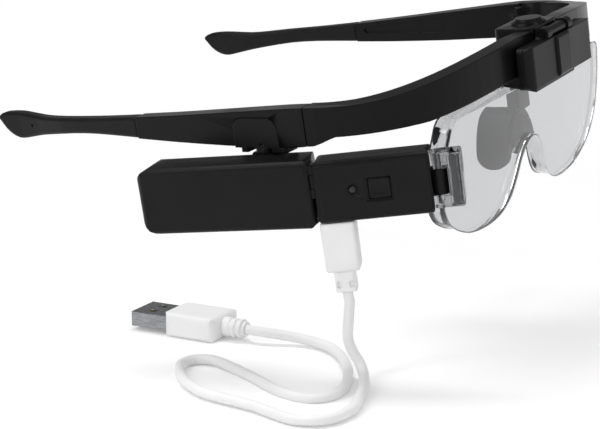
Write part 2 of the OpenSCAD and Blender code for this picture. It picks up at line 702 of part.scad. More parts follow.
// Room for the middle barrel of the frame, which the holder turns about
module flip_room() {
    rod_x(flip_y, flip_z, flip_mid_r + seam_gap, -flip_mid_half - barrel_gap, flip_mid_half + barrel_gap);
    block([-flip_mid_half - barrel_gap, flip_y - barrel_gap, flip_z - 3.3],
        [flip_mid_half + barrel_gap, brow_front + 1, flip_z]);
}
module holder_front() {
    half = holder_half_w;
    proud_y = holder_front_y - holder_panel;
    plan = concat([[half, holder_split]],
        arc([half - holder_r, holder_front_y + holder_r], holder_r, 0, -90),
        [[holder_panel_half + 0.3, holder_front_y], [holder_panel_half, proud_y],
            [-holder_panel_half, proud_y], [-holder_panel_half - 0.3, holder_front_y]],
        arc([holder_r - half, holder_front_y + holder_r], holder_r, -90, -180), [[-half, holder_split]]);
    color(black) difference() {
        intersection() {
            prism_z(plan, holder_low, holder_top);
            prism_y(round_rect([-half, holder_low], [half, holder_top], [1.5, 1.5, 1.5, 1.5]), -50, 0);
            prism_x(round_rect([proud_y, holder_low], [holder_split, holder_top],
                [1.2, 0.1, 0.1, 1.2]), -half, half);
        }
        rod_x(flip_y, flip_z, flip_r + slip, -flip_half - slip, flip_half + slip);
        flip_room();
        for (x = holder_screw_x)
            rod_y(x, holder_screw_z, holder_screw_r + run, holder_front_y + 0.7, holder_split + 1);
    }
}
module holder_back() {
    half = holder_half_w;
    color(black) difference() {
        union() {
            prism_y(round_rect([-half, holder_low], [half, holder_top], [1.5, 1.5, 1.5, 1.5]),
                holder_split, holder_back_y);
            both_sides() {
                rod_x(flip_y, flip_z, flip_r, flip_mid_half + barrel_gap, flip_half);
                block([flip_mid_half + barrel_gap, holder_split, flip_z - 3],
                    [flip_half, flip_y + flip_r, flip_z]);
            }
            on_lens() soft_block([-pocket_half_w, pocket_front, 0], [pocket_half_w, pocket_back, pocket_h],
                [0.2, 0.2, 1.2, 0.2], [0.6, 0.6, 1, 1], [0.5, 0.5, 2.5, 2.5]);
        }
        flip_room();
        rod_x(flip_y, flip_z, flip_pin_r + run, -flip_half - 1, flip_half + 1);
        for (x = holder_screw_x) {
            rod_y(x, holder_screw_z, holder_screw_r + run, holder_split - 1, holder_back_y + 1);
            rod_y(x, holder_screw_z, holder_head_r + run, holder_back_y - 1, holder_back_y + 1);
        }
        on_lens()
            block([-tab_half - slip, tab_from - run, -1], [tab_half + slip, tab_to + run, tab_h + run]);
    }
}
module holder_screws() {
    color(steel) for (x = holder_screw_x) {
        rod_y(x, holder_screw_z, holder_head_r, holder_back_y - 1, holder_back_y - 0.1);
        rod_y(x, holder_screw_z, holder_screw_r, holder_front_y + 0.8, holder_back_y - 0.9);
    }
}
module flip_pin() { color(steel) rod_x(flip_y, flip_z, flip_pin_r, -flip_half - 0.1, flip_half + 0.1); }

// Right half of the two-lobed lens outline, X and Z below the top edge
lens_half = [
    [44, 0], [48.5, -0.3], [51, -1.9], [52.2, -5], [53.6, -10], [54.3, -16], [53.7, -23.5],
    [49.5, -30.5],
    [40, -35.4], [30, -37], [20.5, -36.3], [14, -33.2], [10, -28], [6.8, -21.8], [3.4, -18.3], [0, -17.2]
];
module lens() {
    k = lens_half_w / 54.3;
    h = lens_h / 37;
    side = [for (p = spline(lens_half, 3)) [k * p[0], h * p[1]]];
    face = [for (i = [-12:12]) lens_half_w * 1.01 * i / 12];
    color(clear_tint, 0.45) on_lens() {
        intersection() {
            prism_y(concat(side, [for (i = [len(side) - 2:-1:0]) [-side[i][0], side[i][1]]]),
                -1, lens_t + 9);
            prism_z(concat([for (x = face) [x, x * x / (2 * lens_curve_r)]],
                [for (x = back_order(face)) [x, lens_t + x * x / (2 * lens_curve_r)]]), -50, 1);
        }
        block([-tab_half, tab_from, -1], [tab_half, tab_to, tab_h]);
    }
}

module on_temple() { translate([swivel_x, swivel_y, 0]) rotate([0, 0, -temple_lean]) children(); }
module on_box() { translate([swivel_x, swivel_y, 0]) rotate([0, 0, lamp_yaw]) children(); }
module on_arm() { on_box() translate([arm_axis_x, arm_axis_y, 0]) rotate([0, 0, arm_bend]) children(); }

// Shoe on the right temple, in the frame of the swivel axis
temple_in_here = swivel_off + temple_half_here;
cheek_out = swivel_off - temple_half_here - 0.1;
cheek_in = cheek_out + cheek_t;
shoe_screw_y = [-3.6, 7];
shoe_screw_z = hinge_up - 1;
shoe_screw_r = 0.7;
shoe_top = hinge_up - temple_belly - 0.1;
shoe_in = 4.7;
shoe_lap = 0.3;
shoe_web_half = 5;
shoe_web_t = 1.2;
shoe_web_h = 2.2;
swivel_head_h = 0.8;
swivel_post_r = swivel_head_r + 0.7;
// Open pocket in the neck's outer side, in which the swivel post shows
neck_pocket = [-3.4, 5.2];
neck_pocket_in = 1;
module shoe_cheek(grow) {
    prism_x(round_rect([cheek_mid - cheek_len / 2 - grow, shoe_low - 1], [cheek_mid + cheek_len / 2 + grow,
        cheek_top + grow], [0.1, 0.1, 3.5, 3.5]), cheek_out - grow, cheek_in);
}
// Web behind the cheek, let into the temple's underside
module shoe_web(grow) {
    block([cheek_in - eps, -shoe_web_half - grow, shoe_top - shoe_lap],
        [cheek_in + shoe_web_t + grow, shoe_web_half + grow, shoe_top + shoe_web_h + grow]);
}
module swivel_shoe() {
    color(black) on_temple() difference() {
        union() {
            intersection() {
                shoe_cheek(0);
                block([-20, -20, shoe_top - shoe_lap], [20, 20, 50]);
            }
            shoe_web(0);
            difference() {
                soft_block([cheek_out, -0.3 - shoe_len / 2, shoe_low],
                    [shoe_in, shoe_len / 2 - 0.3, shoe_top],
                    [0.3, 0.3, 0.1, 0.1], [0.3, 0.3, 0.1, 0.1], [1, 3, 3, 1]);
                block([cheek_out - 1, neck_pocket[0], shoe_low - 1],
                    [neck_pocket_in, neck_pocket[1], shoe_top - shoe_lap]);
            }
            rod_z(0, 0, swivel_post_r, shoe_low, shoe_top);
        }
        rod_z(0, 0, swivel_screw_r + run, shoe_low - 1, shoe_top + 1);
        rod_z(0, 0, swivel_head_r + run, shoe_top - swivel_head_h, shoe_top + 1);
        for (y = shoe_screw_y) rod_x(y, shoe_screw_z, shoe_screw_r + run, cheek_in - 0.9, 10);
    }
}
module shoe_screws() {
    color(steel) on_temple() for (y = shoe_screw_y) {
        rod_x(y, shoe_screw_z, shoe_screw_r + 0.6, temple_in_here - 0.9, temple_in_here - 0.1);
        rod_x(y, shoe_screw_z, shoe_screw_r, cheek_in - 0.8, temple_in_here - 0.8);
    }
}
module swivel_screw() {
    color(steel) on_box() {
        rod_z(0, 0, swivel_head_r, shoe_top - swivel_head_h + run, shoe_top - run);
        rod_z(0, 0, swivel_screw_r, lug_low + 0.7, shoe_top - swivel_head_h + 2 * run);
    }
}
module swivel_washer() {
    color(steel) on_box() difference() {
        rod_z(0, 0, lug_r - 0.7, box_top + run, shoe_low);
        rod_z(0, 0, swivel_screw_r + run, box_top - 1, shoe_low + 1);
    }
}

// Corner radii of the battery box in side view, end view and plan
box_side = [2.2, 5.5, 5, 2];
box_end = [1.6, 2.2, 3.6, 1.6];
box_plan = [1.6, 0.8, 2.5, 2.5];
battery_screw_at = [[box_front + 5.2, box_low + 5], [box_back - 3.8, box_low + 9]];
battery_screw_r = 0.7;
boss_r = 1.7;
boss_bore = battery_screw_r + run;
cell_len = box_len - cell_ends;
cell_h = box_h - cell_sides;
cell_front = box_front + 7.5;
cell_low = box_low + wall + 1.8;
pad_cell_t = 1;
module box_wedge(shift) {
    run_in = box_in + 1 - arm_axis_x;
    prism_z([[arm_axis_x, box_front - 5], [box_in + 1, box_front - 5],
        [box_in + 1, box_front + shift + run_in * tan(wedge)], [arm_axis_x, box_front + shift]],
        box_low - 1, box_top + 1);
}
module box_outer() {
    difference() {
        union() {
            soft_block([box_out, box_front, box_low], [box_in, box_back, box_top],
                box_side, box_end, box_plan);
            rod_z(0, 0, lug_r, lug_low, box_top);
        }
        box_wedge(0);
    }
}
module box_inner() {
    difference() {
        soft_block([box_out + wall, box_front + front_wall, box_low + wall],
            [box_in - wall, box_back - wall, box_top - wall], [0.4, 4.1, 3.6, 0.4], [0.4, 0.8, 2.2, 0.4],
            [0.4, 0.4, 1.1, 1.1]);
        box_wedge(wall);
        rod_z(0, 0, lug_r, lug_low, box_top);
    }
}
module arm_room(low, high) {
    rod_z(arm_axis_x, arm_axis_y, barrel_r + seam_gap, low - knuckle_gap, high + knuckle_gap);
}
module box_knuckles() {
    rod_z(arm_axis_x, arm_axis_y, barrel_r, barrel_low, barrel_mid_low);
    rod_z(arm_axis_x, arm_axis_y, barrel_r, barrel_mid_top, barrel_top);
}
module battery_cover() {
    color(black) on_box() difference() {
        union() {
            difference() {
                box_outer();
                box_inner();
                arm_room(barrel_mid_low, barrel_mid_top);
                block([box_split, -50, -50], [50, 50, 50]);
            }
            for (p = battery_screw_at) rod_x(p[0], p[1], boss_r, box_out + wall - eps, box_split);
            box_knuckles();
        }
        rod_z(arm_axis_x, arm_axis_y, arm_pin_r + run, barrel_low - 1, barrel_top + 1);
        for (p = battery_screw_at) rod_x(p[0], p[1], boss_bore, box_out + wall + 0.6, box_split + 1);
    }
}
module battery_base() {
    color(black) on_box() difference() {
        union() {
            difference() {
                box_outer();
                box_inner();
                block([-50, -50, -50], [box_split, 50, 50]);
            }
            for (p = battery_screw_at) rod_x(p[0], p[1], boss_r + 0.5, box_split, box_in - wall + eps);
        }
        rod_z(0, 0, swivel_screw_r + run, lug_low + 0.6, box_top + 1);
        for (p = battery_screw_at) {
            rod_x(p[0], p[1], boss_bore, box_split - 1, box_in + 1);
            rod_x(p[0], p[1], boss_r - 0.2 + run, box_in - 1.2, box_in + 1);
        }
    }
}
module battery_screws() {
    color(steel) on_box() for (p = battery_screw_at) {
        rod_x(p[0], p[1], boss_r - 0.2, box_in - 1.2, box_in - 0.2);
        rod_x(p[0], p[1], battery_screw_r, box_out + wall + 0.8, box_in - 1.1);
    }
}
module battery_cell() {
    color("#8b9095") on_box() translate([box_out + wall + pad_cell_t, cell_front, cell_low])
        soft_block([0, 0, 0], [cell_t, cell_len, cell_h],
            [0.8, 0.8, 0.8, 0.8], [2, 2, 2, 2], [1, 1, 1, 1]);
}
module cell_pad() {
    color("#3b3b3d") on_box() block([box_out + wall, cell_front + 4, cell_low + 2],
        [box_out + wall + pad_cell_t, cell_front + cell_len - 4, cell_low + cell_h - 2]);
}
module cell_tabs() {
    color(gold) on_box() for (z = [3, cell_h - 5])
        block([box_out + wall + pad_cell_t + 1.5, cell_front - 0.3, cell_low + z],
            [box_out + wall + pad_cell_t + cell_t - 1.5, cell_front, cell_low + z + 2]);
}

// Lamp arm, its shells and what they hold
arm_side = [1.2, 1.6, 2, 1];
arm_end = [1.2, 1.6, 1.6, 1.2];
arm_plan = [0.6, 0.8, 0.8, 0.6];
arm_front_wall = 2.4;
arm_screw_at = [[arm_front + 5.2, arm_top - 3.8], [arm_back - 11.6, arm_low + 3.2]];
arm_wall = 1.2;
hole_y = button_side / 2 + slip;
hole_z = button_side / 2 - 0.2 + slip;
lip = 0.6;
module head_room() {
    for (z = [[arm_low - 1, tongue_low], [tongue_top, arm_top + 1]])
        rod_z(head_x, head_y, prong_r + seam_gap, z[0], z[1]);
}
module arm_outer() {
    difference() {
        union() {
            soft_block([arm_out + panel_h, arm_front, arm_low], [arm_in, arm_back, arm_top],
                arm_side, arm_end, arm_plan);
            prism_x(round_rect([arm_front + 0.6, arm_low + 1], [arm_back - 1.5, arm_top - 1.1],
                [1, 1, 1, 1]), arm_out, arm_out + panel_h + eps);
        }
        head_room();
    }
}
module arm_inner() {
    out = arm_out + wall;
    block([out, arm_front + arm_front_wall, arm_low + arm_wall],
        [arm_in - arm_wall, arm_back - rear_wall, arm_top - arm_wall]);
    block([out, arm_back - rear_wall - 1, arm_low + arm_wall],
        [arm_in - arm_wall, arm_back - 0.7, barrel_low - 0.5]);
}
module arm_port() {
    block([plug_x - socket_d / 2 - run, plug_y - socket_w / 2 - run, arm_low - 1],
        [plug_x + socket_d / 2 + run, plug_y + socket_w / 2 + run, arm_low + arm_wall + 1]);
}
module box_room() {
    rod_z(0, 0, barrel_r + seam_gap, barrel_low - knuckle_gap, barrel_mid_low + knuckle_gap / 2);
    rod_z(0, 0, barrel_r + seam_gap, barrel_mid_top - knuckle_gap / 2, barrel_top + knuckle_gap);
}
module arm_cover() {
    color(black) on_arm() difference() {
        union() {
            difference() {
                arm_outer();
                arm_inner();
                arm_port();
                box_room();
                block([arm_split, -50, -50], [50, 50, 50]);
            }
            rod_z(0, 0, barrel_r, barrel_mid_low + knuckle_gap, barrel_mid_top - knuckle_gap);
            for (p = arm_screw_at) rod_x(p[0], p[1], boss_r - 0.2, arm_out + wall - eps, arm_split);
        }
        rod_z(0, 0, arm_pin_r + run, barrel_low - 1, barrel_top + 1);
        for (p = arm_screw_at) rod_x(p[0], p[1], boss_bore, arm_out + wall + 0.4, arm_split + 1);
        block([arm_out - 1, button_at[0] - hole_y - lip, button_at[1] - hole_z - lip],
            [arm_out + button_recess, button_at[0] + hole_y + lip, button_at[1] + hole_z + lip]);
        block([arm_out - 1, button_at[0] - hole_y, button_at[1] - hole_z],
            [arm_out + wall + 1, button_at[0] + hole_y, button_at[1] + hole_z]);
        rod_x(pipe_at[0], pipe_at[1], pipe_r + run, arm_out - 1, arm_out + wall + 1);
        rod_x(pipe_at[0], pipe_at[1], pipe_r + 0.6, arm_out - 1, arm_out + button_recess);
    }
}
module arm_base() {
    color(black) on_arm() difference() {
        union() {
            difference() {
                arm_outer();
                arm_inner();
                arm_port();
                box_room();
                block([-50, -50, -50], [arm_split, 50, 50]);
            }
            for (p = arm_screw_at) {
                rod_x(p[0], p[1], boss_r - 0.2, arm_split, arm_in - arm_wall);
                rod_x(p[0], p[1], boss_r + 0.6, board_in, arm_in - arm_wall + eps);
            }
            block([board_in, button_at[0] - 1.2, button_at[1] - 1],
                [arm_in - arm_wall + eps, button_at[0] + 1.2, button_at[1] + 1]);
            rod_z(head_x, head_y, tongue_r, tongue_low, tongue_top);
            block([head_x - tongue_r, head_y, tongue_low], [head_x + tongue_r, arm_front + 1, tongue_top]);
        }
        rod_z(head_x, head_y, head_pin_r + run, tongue_low - 1, tongue_top + 1);
        block([-50, arm_front - slip, -50], [arm_split, 50, 50]);
        for (p = arm_screw_at) {
            rod_x(p[0], p[1], boss_bore, arm_split - 1, arm_in + 1);
            rod_x(p[0], p[1], boss_r - 0.2 + run, arm_in - 1.2, arm_in + 1);
        }
    }
}
module arm_screws() {
    color(steel) on_arm() for (p = arm_screw_at) {
        rod_x(p[0], p[1], boss_r - 0.2, arm_in - 1.2, arm_in - 0.2);
        rod_x(p[0], p[1], battery_screw_r, arm_out + wall + 0.6, arm_in - 1.1);
    }
}
module arm_pin() {
    color(steel) on_box() rod_z(arm_axis_x, arm_axis_y, arm_pin_r, barrel_low, barrel_top + 0.15);
}
module control_board() {
    color("#1f5a3c") on_arm() difference() {
        union() {
            block([board_out, arm_front + arm_front_wall + slip, arm_low + arm_wall + slip],
                [board_in, arm_back - rear_wall - 2 * slip, arm_top - arm_wall - slip]);
            block([board_out, arm_back - rear_wall - 1, arm_low + arm_wall + slip],
                [board_in, arm_back - 0.8, barrel_low - 0.6]);
        }
        for (p = arm_screw_at) rod_x(p[0], p[1], boss_r - 0.2 + slip, board_out - 1, board_in + 1);
    }
}
module charge_socket() {
    color(steel) on_arm() difference() {
        block([plug_x - socket_d / 2, plug_y - socket_w / 2, arm_low],
            [plug_x + socket_d / 2, plug_y + socket_w / 2, arm_low + socket_h]);
        block([plug_x - socket_d / 2 + 0.35, plug_y - socket_w / 2 + 0.25, arm_low - 1],
            [plug_x + socket_d / 2 - 0.35, plug_y + socket_w / 2 - 0.25, arm_low + socket_h - 0.5]);
    }
}
switch_side = 4.5;
switch_h = 1.8;
module tact_switch() {
    color(steel) on_arm() {
        block([board_out - switch_h, button_at[0] - switch_side / 2, button_at[1] - switch_side / 2],
            [board_out, button_at[0] + switch_side / 2, button_at[1] + switch_side / 2]);
        rod_x(button_at[0], button_at[1], 1.1, board_out - switch_h - 0.6, board_out - switch_h + eps);
    }
}
module power_button() {
    side = button_side / 2;
    out = arm_out + 0.15;
    back = arm_out + wall + run;
    color(soft_black) on_arm() difference() {
        union() {
            soft_block([out, button_at[0] - side, button_at[1] - side + 0.2],
                [back + eps, button_at[0] + side, button_at[1] + side - 0.2],
                [0.8, 0.8, 0.8, 0.8], [0.3, 0.1, 0.1, 0.3], [0.3, 0.1, 0.1, 0.3]);
            block([back, button_at[0] - side - lip, button_at[1] - side + 0.2 - lip],
                [back + 0.7, button_at[0] + side + lip, button_at[1] + side - 0.2 + lip]);
            rod_x(button_at[0], button_at[1], 1.2, back, board_out - switch_h - 0.6 - button_travel - run);
        }
        translate([out - 11.6, button_at[0], button_at[1]]) sphere(r = 12, $fn = 96);
    }
}
module indicator_pipe() {
    color(clear_tint, 0.8) on_arm() rod_x(pipe_at[0], pipe_at[1], pipe_r, arm_out + 0.1, board_out - 0.9);
}
module indicator_led() {
    color(white) on_arm() block([board_out - 0.8, pipe_at[0] - 0.8, pipe_at[1] - 0.5],
        [board_out, pipe_at[0] + 0.8, pipe_at[1] + 0.5]);
}

module light_head() {
    color(clear_tint, 0.5) on_arm() difference() {
        union() {
            soft_block([head_out, head_front, head_low], [head_in, head_back, head_top],
                [1, 0.3, 0.3, 1], [1, 1, 1, 1], [1.2, 1.2, 0.5, 0.5]);
            for (z = [[head_low, tongue_low - 0.2], [tongue_top + 0.2, head_top]]) {
                rod_z(head_x, head_y, prong_r, z[0], z[1]);
                block([head_x - prong_r, head_back - eps, z[0]], [head_x + prong_r, head_y, z[1]]);
            }
        }
        block([head_out + head_wall, head_front + head_wall, head_low + head_wall],
            [head_in - head_wall, head_back - head_wall + 0.4, head_top - head_wall]);
        block([head_out + head_wall, head_front + head_wall, tongue_low - 0.2],
            [head_in - head_wall, head_back + 1, tongue_top + 0.2]);
        rod_z(head_x, head_y, head_pin_r + run, head_low + 0.8, head_top + 1);
    }
}
module head_pin() { color(steel) on_arm() rod_z(head_x, head_y, head_pin_r, head_low + 0.9, head_top); }
carrier_front = head_front + head_wall + 0.9;
chip_half = 1.2;
chip_t = 0.5;
chip_z = [for (k = [-1:1]) (head_low + head_top) / 2 + 3.9 * k];
module led_board() {
    color("#2e3033") on_arm() difference() {
        block([head_out + head_wall + slip, carrier_front - chip_t, head_low + head_wall + slip],
            [head_in - head_wall - slip, head_back - head_wall + 0.2, head_top - head_wall - slip]);
        for (z = chip_z)
            block([head_x - chip_half - 0.4, carrier_front - 1, z - chip_half - 0.4],
                [head_x + chip_half + 0.4, carrier_front, z + chip_half + 0.4]);
    }
}
module led_chips() {
    color("#e8e2b8") on_arm() for (z = chip_z)
        block([head_x - chip_half, carrier_front - chip_t, z - chip_half],
            [head_x + chip_half, carrier_front, z + chip_half]);
}

// Charging cord and its plugs
plug_top = arm_low - 0.3;
plug_low = plug_top - plug_len;
shell_w = 6.85;
shell_t = 1.8;
module plug_shell() {
    color(steel) on_arm() difference() {
        block([plug_x - shell_t / 2, plug_y - shell_w / 2, plug_top - 1.5],
            [plug_x + shell_t / 2, plug_y + shell_w / 2, plug_top + 4.9]);
        block([plug_x - shell_t / 2 + 0.3, plug_y - shell_w / 2 + 0.3, plug_top],
            [plug_x + shell_t / 2 - 0.3, plug_y + shell_w / 2 - 0.3, plug_top + 6]);
    }
}
module plug_body() {
    color(white) on_arm() difference() {
        soft_block([plug_x - plug_t / 2, plug_y - plug_w / 2, plug_low],
            [plug_x + plug_t / 2, plug_y + plug_w / 2, plug_top], [1.6, 1.6, 0.8, 0.8], [1.4, 1.4, 0.6, 0.6],
            [1.5, 1.5, 1.5, 1.5]);
        block([plug_x - shell_t / 2, plug_y - shell_w / 2, plug_top - 1.5],
            [plug_x + shell_t / 2, plug_y + shell_w / 2, plug_top + 1]);
    }
}
relief_w = 6;
module plug_relief() {
    color(white) on_arm() translate([plug_x, plug_y, relief_low]) difference() {
        soft_block([-2.2, -relief_w / 2, 0], [2.2, relief_w / 2, relief_len], [0.6, 0.6, 0.1, 0.1],
            [0.5, 0.5, 0.1, 0.1], [1.2, 1.2, 1.2, 1.2]);
        for (y = [-1.7, 1.7]) block([-3, y - 0.6, 1.4], [-1.6, y + 0.6, 3.4]);
        for (y = [-1.7, 1.7]) block([1.6, y - 0.6, 1.4], [3, y + 0.6, 3.4]);
    }
}
module charge_cord() { color(white) tube(spline(cord_route, 2), cord_d / 2, 8, [0, 1, 0]); }

module on_usb() { translate(usb_at) rotate(usb_turn) children(); }
usb_front = usb_neck_len + usb_body_len;
module usb_neck() {
    color(white) on_usb() {
        rotate([-90, 0, 0]) cylinder(r1 = cord_d / 2 + 0.8, r2 = cord_d / 2 + 1.5, h = usb_neck_len);
        for (y = [1, 3, 5]) rod_y(0, 0, cord_d / 2 + 1.5, y, y + 1.1);
    }
}
module usb_body() {
    color(white) on_usb() difference() {
        soft_block([-usb_body_w / 2, usb_neck_len, -usb_body_t / 2],
            [usb_body_w / 2, usb_front, usb_body_t / 2],
            [1.6, 0.8, 0.8, 1.6], [2, 2, 2, 2], [3, 1, 1, 3]);
        block([-usb_shell_w / 2, usb_front - 3, -usb_shell_t / 2],
            [usb_shell_w / 2, usb_front + 1, usb_shell_t / 2]);
    }
}
module usb_shell() {
    color(steel) on_usb() difference() {
        block([-usb_shell_w / 2, usb_front - 3, -usb_shell_t / 2],
            [usb_shell_w / 2, usb_front + usb_shell_len, usb_shell_t / 2]);
        block([-usb_shell_w / 2 + usb_wall, usb_front - 2.5, -usb_shell_t / 2 + usb_wall],
            [usb_shell_w / 2 - usb_wall, usb_front + usb_shell_len + 1, usb_shell_t / 2 - usb_wall]);
        for (x = [-2.7, 2.7])
            block([x - 1.1, usb_front + 5, -usb_shell_t], [x + 1.1, usb_front + 7.5, usb_shell_t]);
    }
}
tongue_under = -usb_shell_t / 2 + usb_wall;
tongue_h = 1.9;
module usb_tongue() {
    color("#d8d8da") on_usb() block([-usb_shell_w / 2 + usb_wall, usb_front - 2.5, tongue_under],
        [usb_shell_w / 2 - usb_wall, usb_front + usb_shell_len - 0.5, tongue_under + tongue_h]);
}
module usb_contacts() {
    color(gold) on_usb() for (x = [-3.5, -1, 1, 3.5])
        block([x - 0.5, usb_front + 3, tongue_under + tongue_h],
            [x + 0.5, usb_front + usb_shell_len - 1, tongue_under + tongue_h + contact_h]);
}

frame_front();
temple_right();
temple_left();
temple_tip_right();
temple_tip_left();
hinge_screw_right();
hinge_screw_left();
bridge_housing();
bridge_screws();
release_button();
release_clip();
release_spring();
nose_pad_arm();
nose_pad_screw();
nose_pad();
holder_front();
holder_back();
holder_screws();
flip_pin();
lens();
swivel_shoe();
shoe_screws();
swivel_screw();
swivel_washer();
battery_cover();
battery_base();
battery_screws();
battery_cell();
cell_pad();
cell_tabs();
arm_cover();
arm_base();
arm_screws();
arm_pin();
control_board();
charge_socket();
tact_switch();
power_button();
indicator_pipe();
indicator_led();
light_head();
head_pin();
led_board();
led_chips();
plug_shell();
plug_body();
plug_relief();
charge_cord();
usb_neck();
usb_body();
usb_shell();
usb_tongue();
usb_contacts();
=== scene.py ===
import bmesh
import bpy
import json
import math
from mathutils import Matrix, Vector


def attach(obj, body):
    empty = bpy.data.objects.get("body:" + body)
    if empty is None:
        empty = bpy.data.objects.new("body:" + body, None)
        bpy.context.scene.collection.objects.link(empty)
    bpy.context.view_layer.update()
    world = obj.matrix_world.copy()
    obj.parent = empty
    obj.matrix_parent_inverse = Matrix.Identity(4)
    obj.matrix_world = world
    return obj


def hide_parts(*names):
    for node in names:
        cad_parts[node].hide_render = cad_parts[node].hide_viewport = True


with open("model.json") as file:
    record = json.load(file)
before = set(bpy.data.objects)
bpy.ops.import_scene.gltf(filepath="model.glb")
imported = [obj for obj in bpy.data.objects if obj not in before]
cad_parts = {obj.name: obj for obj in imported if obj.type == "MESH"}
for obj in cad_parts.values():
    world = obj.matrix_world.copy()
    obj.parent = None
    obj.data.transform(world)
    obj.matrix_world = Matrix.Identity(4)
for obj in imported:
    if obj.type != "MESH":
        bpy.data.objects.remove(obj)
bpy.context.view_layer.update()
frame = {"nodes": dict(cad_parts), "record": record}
mm = 0.001
nodeBody = {node: body for body, nodes in frame["record"]["behaviour"]["bodies"].items() for node in nodes}
nodeSlot = {part["node"]: part["material_slot"] for part in frame["record"]["subparts"]}


def mmVector(x, y, z):
    return Vector((x * mm, y * mm, z * mm))


# Camera

cameraView = {
    "position": mmVector(-447.3, -223.6, 114.7),
    "azimuth": -56.2,        # degrees round the object, 0 looks back from the front
    "elevation": 15.47,
    "roll": -8.27,           # the photograph is level with the temples, not with the table
    "focal": 102.15,         # mm, for the sensor width below
    "sensor": 36,
    "near": 0.01,            # metres from the camera where the view starts and ends
    "far": 20,
}


def addCamera():
    azimuth, elevation, roll = (math.radians(cameraView[k]) for k in ("azimuth", "elevation", "roll"))
    back = Vector((math.sin(azimuth) * math.cos(elevation), -math.cos(azimuth) * math.cos(elevation),
                   math.sin(elevation)))
    level = Vector((math.cos(azimuth), math.sin(azimuth), 0))
    upright = back.cross(level)
    right = math.cos(roll) * level + math.sin(roll) * upright
    up = -math.sin(roll) * level + math.cos(roll) * upright
    camera = bpy.data.objects.new("camera", bpy.data.cameras.new("camera"))
    bpy.context.collection.objects.link(camera)
    camera.data.lens = cameraView["focal"]
    camera.data.sensor_width = cameraView["sensor"]
    camera.data.clip_start, camera.data.clip_end = cameraView["near"], cameraView["far"]
    turn = Matrix((right, up, back)).transposed().to_4x4()
    camera.matrix_world = Matrix.Translation(cameraView["position"]) @ turn
    bpy.context.scene.camera = camera


addCamera()
print("camera placed")


# Materials

moulding = {
    "samples": 6,            # rays that find each rounded corner
    "blackCorner": 0.5,      # mm, radius of the black plastics' corners
    "whiteCorner": 0.4,      # mm, of the white ones
    "blackMarks": 14,        # mm, size of the handling marks on black plastic
    "whiteMarks": 9,
    "whiteGrain": 0.4,       # mm
    "whiteHeight": 0.004,    # mm, depth of that grain
    "fleckHeight": 0.02,     # mm, depth between the flecks of board and foam
}


def hexColour(code, alpha=1.0):
    # the sRGB curve undone, because the nodes take linear values
    channels = [int(code[i:i + 2], 16) / 255 for i in (1, 3, 5)]
    return tuple(c / 12.92 if c <= 0.04045 else ((c + 0.055) / 1.055) ** 2.4 for c in channels) + (alpha,)


def addNode(tree, kind, settings=None, links=None):
    # settings go to inputs by name or index, or to the node itself; links name the socket that feeds an input
    node = tree.nodes.new(kind)
    for key, value in (settings or {}).items():
        if isinstance(key, int) or key in node.inputs:
            node.inputs[key].default_value = value
        else:
            setattr(node, key, value)
    for key, socket in (links or {}).items():
        tree.links.new(socket, node.inputs[key])
    return node


def newMaterial(name):
    material = bpy.data.materials.new(name)
    material.use_nodes = True
    material.node_tree.nodes.clear()
    tree = material.node_tree
    place = addNode(tree, "ShaderNodeTexCoord").outputs["Object"]
    return material, tree, place


def roundCorner(tree, radiusMm):
    # shades sharp corners as if they had the small radius that every moulded corner has
    settings = {"samples": moulding["samples"], "Radius": radiusMm * mm}
    return addNode(tree, "ShaderNodeBevel", settings).outputs["Normal"]


def finishMaterial(tree, shader):
    addNode(tree, "ShaderNodeOutputMaterial", links={"Surface": shader})


def perMetre(sizeMm):
    return 1000 / sizeMm     # noise scale that gives features of this size


def rampNode(tree, factor, stops):
    ramp = addNode(tree, "ShaderNodeValToRGB", links={"Fac": factor})
    elements = ramp.color_ramp.elements
    while len(elements) < len(stops):
        elements.new(0.5)
    for element, (position, colour) in zip(elements, stops):
        element.position, element.color = position, colour
    return ramp.outputs["Color"]


def grey(value):
    return (value, value, value, 1)


# Black plastics: moulded ABS and nylon, satin from the tool's fine spark texture
blackPlastics = {
    # name: base colour, handled tint, roughness low and high, spark size mm, spark height mm
    "mouldedAbsFrame": ("#0d0d0e", "#131314", 0.28, 0.38, 0.30, 0.006),
    "mouldedAbsLamp": ("#141415", "#1a1a1b", 0.34, 0.44, 0.26, 0.007),
    "mouldedNylonTip": ("#161617", "#1d1d1e", 0.38, 0.50, 0.35, 0.008),
    "mouldedAbsBridge": ("#101011", "#171718", 0.26, 0.36, 0.30, 0.005),
}
blackGloss = 0.14            # specular level of black ABS under this light, where 0.5 is bare IOR 1.5


def makeBlackPlastic(name):
    base, tint, smooth, rough, grain, height = blackPlastics[name]
    material, tree, place = newMaterial(name)
    cloud = addNode(tree, "ShaderNodeTexNoise", {"Scale": perMetre(moulding["blackMarks"]), "Detail": 4.0},
                    {"Vector": place})
    sparks = addNode(tree, "ShaderNodeTexNoise", {"Scale": perMetre(grain), "Detail": 2.0}, {"Vector": place})
    colour = rampNode(tree, cloud.outputs["Fac"], [(0.35, hexColour(base)), (0.8, hexColour(tint))])
    roughness = rampNode(tree, cloud.outputs["Fac"], [(0.3, grey(smooth)), (0.75, grey(rough))])
    bump = addNode(tree, "ShaderNodeBump", {"Distance": height * mm, "Strength": 0.5},
                   {"Height": sparks.outputs["Fac"], "Normal": roundCorner(tree, moulding["blackCorner"])})
    shader = addNode(tree, "ShaderNodeBsdfPrincipled", {"IOR": 1.5, "Specular IOR Level": blackGloss},
                     {"Base Color": colour, "Roughness": roughness, "Normal": bump.outputs["Normal"]})
    finishMaterial(tree, shader.outputs["BSDF"])
    return material


